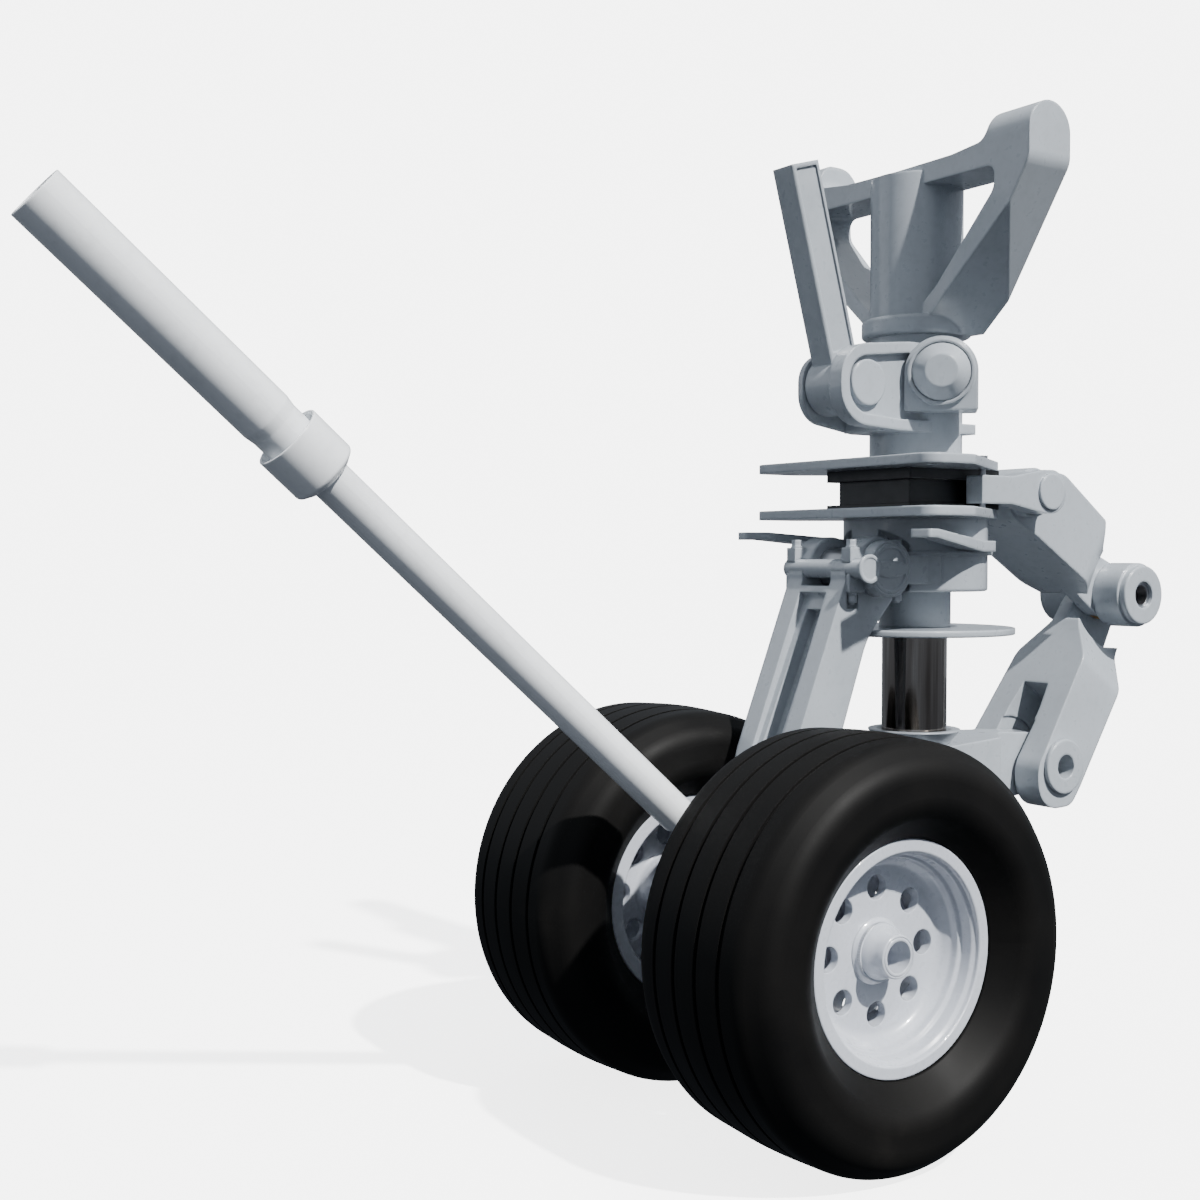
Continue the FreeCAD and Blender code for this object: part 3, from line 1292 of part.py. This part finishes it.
def make_wheels():
    pieces = {
        "tyre": [tyre()],
        "outer_rim": [outer_rim()],
        "inner_rim": [inner_rim()],
        "tie_bolts": [tie_bolt(index) for index in range(8)],
        "wheel_bearings": [wheel_bearing(30.2, 69.8), wheel_bearing(-95.8, -40.2)],
        "hub_cover": [hub_cover()],
    }
    for name, solids in pieces.items():
        keep(name + "_right", *solids)
        keep(name + "_left", *[turned_about(solid) for solid in solids])


def main():
    make_main_group()
    make_steering_group()
    make_arm_group()
    make_bar_group()
    make_torque_links()
    make_piston_group()
    make_wheels()
    os.makedirs("parts", exist_ok=True)
    for name, shape in PARTS.items():
        shape.exportStep("parts/" + name + ".step")
    print(len(PARTS), "sub-parts written")


main()
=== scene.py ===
import json
import math

import bpy
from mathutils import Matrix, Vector


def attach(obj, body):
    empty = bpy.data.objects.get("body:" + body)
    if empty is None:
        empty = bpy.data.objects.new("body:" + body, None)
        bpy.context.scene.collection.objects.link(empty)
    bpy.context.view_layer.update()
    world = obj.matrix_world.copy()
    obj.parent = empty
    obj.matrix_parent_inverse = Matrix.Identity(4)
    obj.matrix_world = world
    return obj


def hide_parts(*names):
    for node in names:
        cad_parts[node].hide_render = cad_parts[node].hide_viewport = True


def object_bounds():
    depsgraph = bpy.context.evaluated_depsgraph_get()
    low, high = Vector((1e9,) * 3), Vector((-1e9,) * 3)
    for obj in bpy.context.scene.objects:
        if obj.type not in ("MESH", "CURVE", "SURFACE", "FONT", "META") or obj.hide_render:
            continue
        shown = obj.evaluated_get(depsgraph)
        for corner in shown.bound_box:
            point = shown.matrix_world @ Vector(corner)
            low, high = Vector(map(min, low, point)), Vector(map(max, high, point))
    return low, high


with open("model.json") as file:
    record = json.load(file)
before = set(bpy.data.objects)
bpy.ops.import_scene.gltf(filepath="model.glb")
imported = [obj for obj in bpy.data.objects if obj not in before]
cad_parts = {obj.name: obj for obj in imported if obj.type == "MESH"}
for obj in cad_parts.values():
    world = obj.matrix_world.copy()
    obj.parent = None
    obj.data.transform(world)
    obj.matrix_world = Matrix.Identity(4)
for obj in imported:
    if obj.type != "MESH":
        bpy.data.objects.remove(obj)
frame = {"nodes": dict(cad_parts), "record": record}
cad_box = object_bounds()
nodes = frame["nodes"]

# ---- camera --------------------------------------------------------------
# The camera stands in front of the leg and to its right, a little above its middle.
CAMERA_PLACE = Vector((2.3065, -2.3275, -0.8044))
CAMERA_LOOK = Vector((-0.8319, 0.5543, -0.0281))
CAMERA_LENS = 46.06
CAMERA_SENSOR = 36.0


def add_camera():
    data = bpy.data.cameras.new("camera")
    data.lens = CAMERA_LENS
    data.sensor_width = CAMERA_SENSOR
    camera = bpy.data.objects.new("camera", data)
    bpy.context.scene.collection.objects.link(camera)
    camera.location = CAMERA_PLACE
    camera.rotation_euler = CAMERA_LOOK.to_track_quat("-Z", "Y").to_euler()
    bpy.context.scene.camera = camera


# ---- light and floor -----------------------------------------------------
SUN_WAY = Vector((-0.66, -0.12, -0.74))
SUN_ENERGY = 8.5
SUN_ANGLE = math.radians(1.6)
SUN_COLOUR = (1.0, 0.985, 0.96)

FILL_PLACE = Vector((-4.0, -4.5, 1.5))
FILL_TARGET = Vector((0, -0.6, -0.8))
FILL_SIZE = 4.0
FILL_POWER = 30.0
FILL_COLOUR = (0.92, 0.96, 1.0)

# The surround lights the object, and the backdrop is what the camera sees behind it.
SURROUND_STRENGTH = 0.8
BACKDROP_STRENGTH = 6.0

FLOOR_HALF_SIZE = 60.0
FLOOR_GAP = 0.0005
FLOOR_GLOW = 3.7


def add_lamp(name, kind, way):
    """Lamp of the given kind that shines along a direction."""
    lamp = bpy.data.objects.new(name, bpy.data.lights.new(name, kind))
    bpy.context.scene.collection.objects.link(lamp)
    lamp.rotation_euler = way.to_track_quat("-Z", "Y").to_euler()
    return lamp


def add_soft_fill():
    lamp = add_lamp("soft_fill", "AREA", FILL_TARGET - FILL_PLACE)
    lamp.location = FILL_PLACE
    lamp.data.shape = "DISK"
    lamp.data.size = FILL_SIZE
    lamp.data.energy = FILL_POWER
    lamp.data.color = FILL_COLOUR


def add_sun():
    lamp = add_lamp("sun", "SUN", SUN_WAY)
    lamp.data.energy = SUN_ENERGY
    lamp.data.angle = SUN_ANGLE
    lamp.data.color = SUN_COLOUR


def add_world():
    """Dim bluish surround for the light, darker below, in front of a plain white backdrop."""
    world = bpy.data.worlds.new("studio")
    world.use_nodes = True
    tree = world.node_tree
    tree.nodes.clear()
    output = tree.nodes.new("ShaderNodeOutputWorld")
    surround = tree.nodes.new("ShaderNodeBackground")
    backdrop = tree.nodes.new("ShaderNodeBackground")
    backdrop.inputs["Color"].default_value = (1.0, 1.0, 1.0, 1)
    backdrop.inputs["Strength"].default_value = BACKDROP_STRENGTH
    choose = tree.nodes.new("ShaderNodeMixShader")
    path = tree.nodes.new("ShaderNodeLightPath")
    coordinates = tree.nodes.new("ShaderNodeTexCoord")
    split = tree.nodes.new("ShaderNodeSeparateXYZ")
    shift = tree.nodes.new("ShaderNodeMath")
    shift.operation = "MULTIPLY_ADD"
    shift.inputs[1].default_value = 0.5
    shift.inputs[2].default_value = 0.5
    tree.links.new(coordinates.outputs["Generated"], split.inputs[0])
    tree.links.new(split.outputs["Z"], shift.inputs[0])
    sky = ramp(tree, shift.outputs[0], [
        (0.00, (0.09, 0.10, 0.12)),
        (0.42, (0.17, 0.19, 0.22)),
        (0.52, (0.38, 0.42, 0.48)),
        (0.70, (0.52, 0.57, 0.64)),
        (1.00, (1.10, 1.15, 1.20)),
    ])
    tree.links.new(sky, surround.inputs["Color"])
    tree.links.new(path.outputs["Is Camera Ray"], choose.inputs[0])
    tree.links.new(surround.outputs[0], choose.inputs[1])
    tree.links.new(backdrop.outputs[0], choose.inputs[2])
    tree.links.new(choose.outputs[0], output.inputs[0])
    surround.inputs["Strength"].default_value = SURROUND_STRENGTH
    bpy.context.scene.world = world


def add_floor():
    size = FLOOR_HALF_SIZE
    mesh = bpy.data.meshes.new("floor")
    z = cad_box[0][2] - FLOOR_GAP
    corners = [(-size, -size, z), (size, -size, z), (size, size, z), (-size, size, z)]
    mesh.from_pydata(corners, [], [(0, 1, 2, 3)])
    floor = bpy.data.objects.new("floor", mesh)
    bpy.context.scene.collection.objects.link(floor)
    material, shader, _ = new_material("studio_floor")
    shader.inputs["Base Color"].default_value = (0.90, 0.90, 0.90, 1)
    shader.inputs["Roughness"].default_value = 0.9
    shader.inputs["Emission Color"].default_value = (1.0, 1.0, 1.0, 1)
    shader.inputs["Emission Strength"].default_value = FLOOR_GLOW
    floor.data.materials.append(material)
    floor.visible_diffuse = False
    floor.visible_glossy = False


# ---- materials -----------------------------------------------------------
# How far a bevelled normal turns from the true one, as a cosine, on flats and on full edges.
FLAT_COSINE = 0.995
EDGE_COSINE = 0.90
# Gain and cap of the painted highlight that lightens the colour along edges.
EDGE_HIGHLIGHT_GAIN = 1.55
EDGE_HIGHLIGHT_LIMIT = 0.9


def new_material(name):
    material = bpy.data.materials.new(name)
    material.use_nodes = True
    tree = material.node_tree
    tree.nodes.clear()
    output = tree.nodes.new("ShaderNodeOutputMaterial")
    shader = tree.nodes.new("ShaderNodeBsdfPrincipled")
    tree.links.new(shader.outputs[0], output.inputs[0])
    return material, shader, tree


def object_coordinates(tree, scale=(1, 1, 1)):
    coordinates = tree.nodes.new("ShaderNodeTexCoord")
    mapping = tree.nodes.new("ShaderNodeMapping")
    mapping.inputs["Scale"].default_value = scale
    tree.links.new(coordinates.outputs["Object"], mapping.inputs["Vector"])
    return mapping.outputs[0]


def noise(tree, vector, scale, detail=4.0, roughness=0.55):
    node = tree.nodes.new("ShaderNodeTexNoise")
    node.inputs["Scale"].default_value = scale
    node.inputs["Detail"].default_value = detail
    node.inputs["Roughness"].default_value = roughness
    tree.links.new(vector, node.inputs["Vector"])
    return node.outputs["Fac"]


def ramp(tree, factor, stops):
    node = tree.nodes.new("ShaderNodeValToRGB")
    elements = node.color_ramp.elements
    while len(elements) < len(stops):
        elements.new(0.5)
    for element, (position, colour) in zip(elements, stops):
        element.position = position
        element.color = tuple(colour) + (1,)
    tree.links.new(factor, node.inputs["Fac"])
    return node.outputs["Color"]


def grey(value):
    return (value, value, value)


def mixed(tree, factor, first, second, kind="MIX"):
    node = tree.nodes.new("ShaderNodeMix")
    node.data_type = "RGBA"
    node.blend_type = kind
    for socket, value in ((node.inputs[0], factor), (node.inputs[6], first), (node.inputs[7], second)):
        if isinstance(value, bpy.types.NodeSocket):
            tree.links.new(value, socket)
        elif isinstance(value, tuple):
            socket.default_value = value + (1,)
        else:
            socket.default_value = value
    return node.outputs[2]


def edge_light(tree, reach):
    """Factor that is 0 on flats and rises to 1 along edges, within reach of them; it places the painted
    edge highlight.
    """
    bevel = tree.nodes.new("ShaderNodeBevel")
    bevel.samples = 6
    bevel.inputs["Radius"].default_value = reach
    geometry = tree.nodes.new("ShaderNodeNewGeometry")
    dot = tree.nodes.new("ShaderNodeVectorMath")
    dot.operation = "DOT_PRODUCT"
    tree.links.new(bevel.outputs[0], dot.inputs[0])
    tree.links.new(geometry.outputs["Normal"], dot.inputs[1])
    spread = tree.nodes.new("ShaderNodeMapRange")
    spread.inputs["From Min"].default_value = FLAT_COSINE
    spread.inputs["From Max"].default_value = EDGE_COSINE
    tree.links.new(dot.outputs["Value"], spread.inputs["Value"])
    return spread.outputs[0]


def bumped(tree, shader, height, strength, distance, soft_edge=0.0):
    node = tree.nodes.new("ShaderNodeBump")
    node.inputs["Strength"].default_value = strength
    node.inputs["Distance"].default_value = distance
    tree.links.new(height, node.inputs["Height"])
    if soft_edge:
        bevel = tree.nodes.new("ShaderNodeBevel")
        bevel.samples = 4
        bevel.inputs["Radius"].default_value = soft_edge
        tree.links.new(bevel.outputs[0], node.inputs["Normal"])
    tree.links.new(node.outputs[0], shader.inputs["Normal"])


def enamel(name, colour, roughness=0.32, coat=0.35, soft_edge=0.004, grime=0.10, edges=0.45):
    """Sprayed enamel: faint orange peel, soft mottling, grime in patches and a painted highlight that
    lightens the colour along edges.
    """
    material, shader, tree = new_material(name)
    place = object_coordinates(tree)
    broad = noise(tree, place, 3.2, 3.0)
    fine = noise(tree, place, 55.0, 5.0)
    peel = noise(tree, place, 420.0, 2.0)
    dark = tuple(c * (1.0 - grime) for c in colour)
    light = tuple(min(c * 1.05, 1.0) for c in colour)
    body = ramp(tree, broad, [(0.35, dark), (0.55, colour), (0.75, light)])
    speck = ramp(tree, fine, [(0.30, grey(0.93)), (0.5, grey(1.0)), (1.0, grey(1.0))])
    painted = mixed(tree, 1.0, body, speck, "MULTIPLY")
    # Painted highlight: the base colour is lightened along edges, standing in for the light that rounded
    # edges catch.
    edge_highlight = tuple(min(c * EDGE_HIGHLIGHT_GAIN, EDGE_HIGHLIGHT_LIMIT) for c in colour)
    share = tree.nodes.new("ShaderNodeMath")
    share.operation = "MULTIPLY"
    share.inputs[1].default_value = edges
    tree.links.new(edge_light(tree, soft_edge * 0.6), share.inputs[0])
    tree.links.new(mixed(tree, share.outputs[0], painted, edge_highlight), shader.inputs["Base Color"])
    sheen = ramp(tree, fine, [
        (0.25, grey(roughness * 1.35)),
        (0.6, grey(roughness)),
        (0.9, grey(roughness * 0.85)),
    ])
    tree.links.new(sheen, shader.inputs["Roughness"])
    shader.inputs["Metallic"].default_value = 0.0
    shader.inputs["Specular IOR Level"].default_value = 0.5
    shader.inputs["Coat Weight"].default_value = coat
    shader.inputs["Coat Roughness"].default_value = 0.10
    bumped(tree, shader, peel, 0.06, 0.0006, soft_edge)
    return material


def dark_chrome():
    """Polished hard chrome with a film of oil: faint rings and streaks along the stroke."""
    material, shader, tree = new_material("dark_chrome")
    streaks = noise(tree, object_coordinates(tree, (30, 30, 1.2)), 2.0, 4.0)
    rings = noise(tree, object_coordinates(tree, (1, 1, 220)), 1.0, 2.0)
    colour = ramp(tree, streaks, [
        (0.3, (0.13, 0.112, 0.100)),
        (0.55, (0.26, 0.235, 0.215)),
        (0.8, (0.46, 0.435, 0.41)),
    ])
    tree.links.new(colour, shader.inputs["Base Color"])
    rough = ramp(tree, streaks, [(0.3, grey(0.06)), (0.8, grey(0.16))])
    tree.links.new(rough, shader.inputs["Roughness"])
    shader.inputs["Metallic"].default_value = 1.0
    bumped(tree, shader, rings, 0.05, 0.0003)
    return material


def ground_steel():
    """Bare steel with grinding marks and faint blotches."""
    material, shader, tree = new_material("ground_steel")
    grain = noise(tree, object_coordinates(tree, (4, 60, 60)), 14.0, 5.0)
    blotch = noise(tree, object_coordinates(tree), 18.0, 4.0)
    colour = ramp(tree, blotch, [(0.3, (0.34, 0.35, 0.37)), (0.7, (0.56, 0.57, 0.60))])
    tree.links.new(colour, shader.inputs["Base Color"])
    rough = ramp(tree, grain, [(0.2, grey(0.24)), (0.8, grey(0.42))])
    tree.links.new(rough, shader.inputs["Roughness"])
    shader.inputs["Metallic"].default_value = 1.0
    bumped(tree, shader, grain, 0.08, 0.0003, 0.0015)
    return material


def bearing_bronze():
    """Worn bronze, lighter where it has been rubbed."""
    material, shader, tree = new_material("bearing_bronze")
    blotch = noise(tree, object_coordinates(tree), 26.0, 5.0)
    colour = ramp(tree, blotch, [(0.3, (0.36, 0.22, 0.10)), (0.7, (0.62, 0.43, 0.22))])
    tree.links.new(colour, shader.inputs["Base Color"])
    rough = ramp(tree, blotch, [(0.2, grey(0.28)), (0.8, grey(0.5))])
    tree.links.new(rough, shader.inputs["Roughness"])
    shader.inputs["Metallic"].default_value = 1.0
    bumped(tree, shader, blotch, 0.06, 0.0003, 0.001)
    return material


def tyre_rubber():
    """Satin black rubber with moulding grain and dusty patches."""
    material, shader, tree = new_material("tyre_rubber")
    place = object_coordinates(tree)
    dust = noise(tree, place, 5.0, 5.0)
    grain = noise(tree, place, 600.0, 3.0)
    colour = ramp(tree, dust, [
        (0.30, (0.0028, 0.0028, 0.0029)),
        (0.62, (0.0048, 0.0046, 0.0044)),
        (0.85, (0.0105, 0.0098, 0.0090)),
    ])
    tree.links.new(colour, shader.inputs["Base Color"])
    rough = ramp(tree, dust, [(0.3, grey(0.50)), (0.8, grey(0.66))])
    tree.links.new(rough, shader.inputs["Roughness"])
    shader.inputs["Specular IOR Level"].default_value = 0.10
    bumped(tree, shader, grain, 0.18, 0.0005, 0.002)
    return material


def make_materials():
    """One material for each slot of the record."""
    return {
        "leg_paint": enamel("leg_enamel", (0.37, 0.405, 0.445), roughness=0.28, coat=0.6, soft_edge=0.007),
        "bar_paint": enamel("bar_enamel", (0.84, 0.87, 0.90), roughness=0.30, coat=0.5),
        "wheel_paint": enamel("wheel_enamel", (0.50, 0.53, 0.59), roughness=0.27, coat=0.9, grime=0.05),
        "dark_paint": enamel("black_enamel", (0.0042, 0.0045, 0.0056), roughness=0.34, coat=0.12),
        "dark_chrome": dark_chrome(),
        "steel": ground_steel(),
        "bronze": bearing_bronze(),
        "tyre_rubber": tyre_rubber(),
    }


def dress_nodes(materials):
    for entry in frame["record"]["subparts"]:
        mesh = nodes[entry["node"]].data
        mesh.materials.clear()
        mesh.materials.append(materials[entry["material_slot"]])


# ---- added pieces --------------------------------------------------------
SLEEVE_STEPS = 96
SLEEVE_SMOOTH = math.radians(40.0)
SLEEVE_BORE = 0.0343
SLEEVE_ROOT_X = 0.3509
SLEEVE_TIP_X = 0.4064
# Distance along the axle and radius of the sleeve's outside, from the wheel to the axle's end.
SLEEVE_FLARE = [
    (SLEEVE_ROOT_X, 0.0600), (0.3520, 0.0580), (0.3542, 0.0550), (0.3580, 0.0522), (0.3625, 0.0500),
    (0.3680, 0.0482), (0.3722, 0.0470), (0.3765, 0.0442), (0.3810, 0.0418), (0.3860, 0.0402),
    (0.3930, 0.0390), (0.4040, 0.0388), (0.4056, 0.0382), (SLEEVE_TIP_X, 0.0370),
    (SLEEVE_TIP_X, SLEEVE_BORE), (SLEEVE_ROOT_X, SLEEVE_BORE),
]


def joint_place(name):
    """Place of a joint of the record, at rest."""
    for joint in frame["record"]["behaviour"]["joints"]:
        if joint["name"] == name:
            return joint["pos_m"]
    raise KeyError(name)


def turned_ring(profile, centre, side):
    """Closed ring about an X-wise axis, from (x, radius) points that run once around its section."""
    vertices = []
    faces = []
    count = len(profile)
    for step in range(SLEEVE_STEPS):
        angle = 2.0 * math.pi * step / SLEEVE_STEPS
        here = step * count
        there = (here + count) % (SLEEVE_STEPS * count)
        for k, (x, radius) in enumerate(profile):
            n = (k + 1) % count
            y = centre[0] + radius * math.cos(angle)
            z = centre[1] + radius * math.sin(angle)
            vertices.append((side * x, y, z))
            face = (here + k, here + n, there + n, there + k)
            faces.append(face if side > 0 else face[::-1])
    return vertices, faces


def add_hub_sleeves(material):
    """Smooth flared sleeves that hide the axle nuts and run out along the axle ends."""
    _, axle_y, axle_z = joint_place("wheel_spin_right")
    vertices = []
    faces = []
    for side in (1, -1):
        more, ring = turned_ring(SLEEVE_FLARE, (axle_y, axle_z), side)
        faces += [tuple(i + len(vertices) for i in face) for face in ring]
        vertices += more
    mesh = bpy.data.meshes.new("hub_sleeves")
    mesh.from_pydata(vertices, [], faces)
    mesh.update()
    mesh.materials.append(material)
    mesh.shade_smooth()
    mesh.set_sharp_from_angle(angle=SLEEVE_SMOOTH)
    sleeves = bpy.data.objects.new("hub_sleeves", mesh)
    bpy.context.scene.collection.objects.link(sleeves)
    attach(sleeves, "strut")
    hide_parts("axle_nuts")


# ---- making --------------------------------------------------------------
add_camera()
add_world()
add_sun()
add_soft_fill()
add_floor()
materials = make_materials()
dress_nodes(materials)
add_hub_sleeves(materials["wheel_paint"])
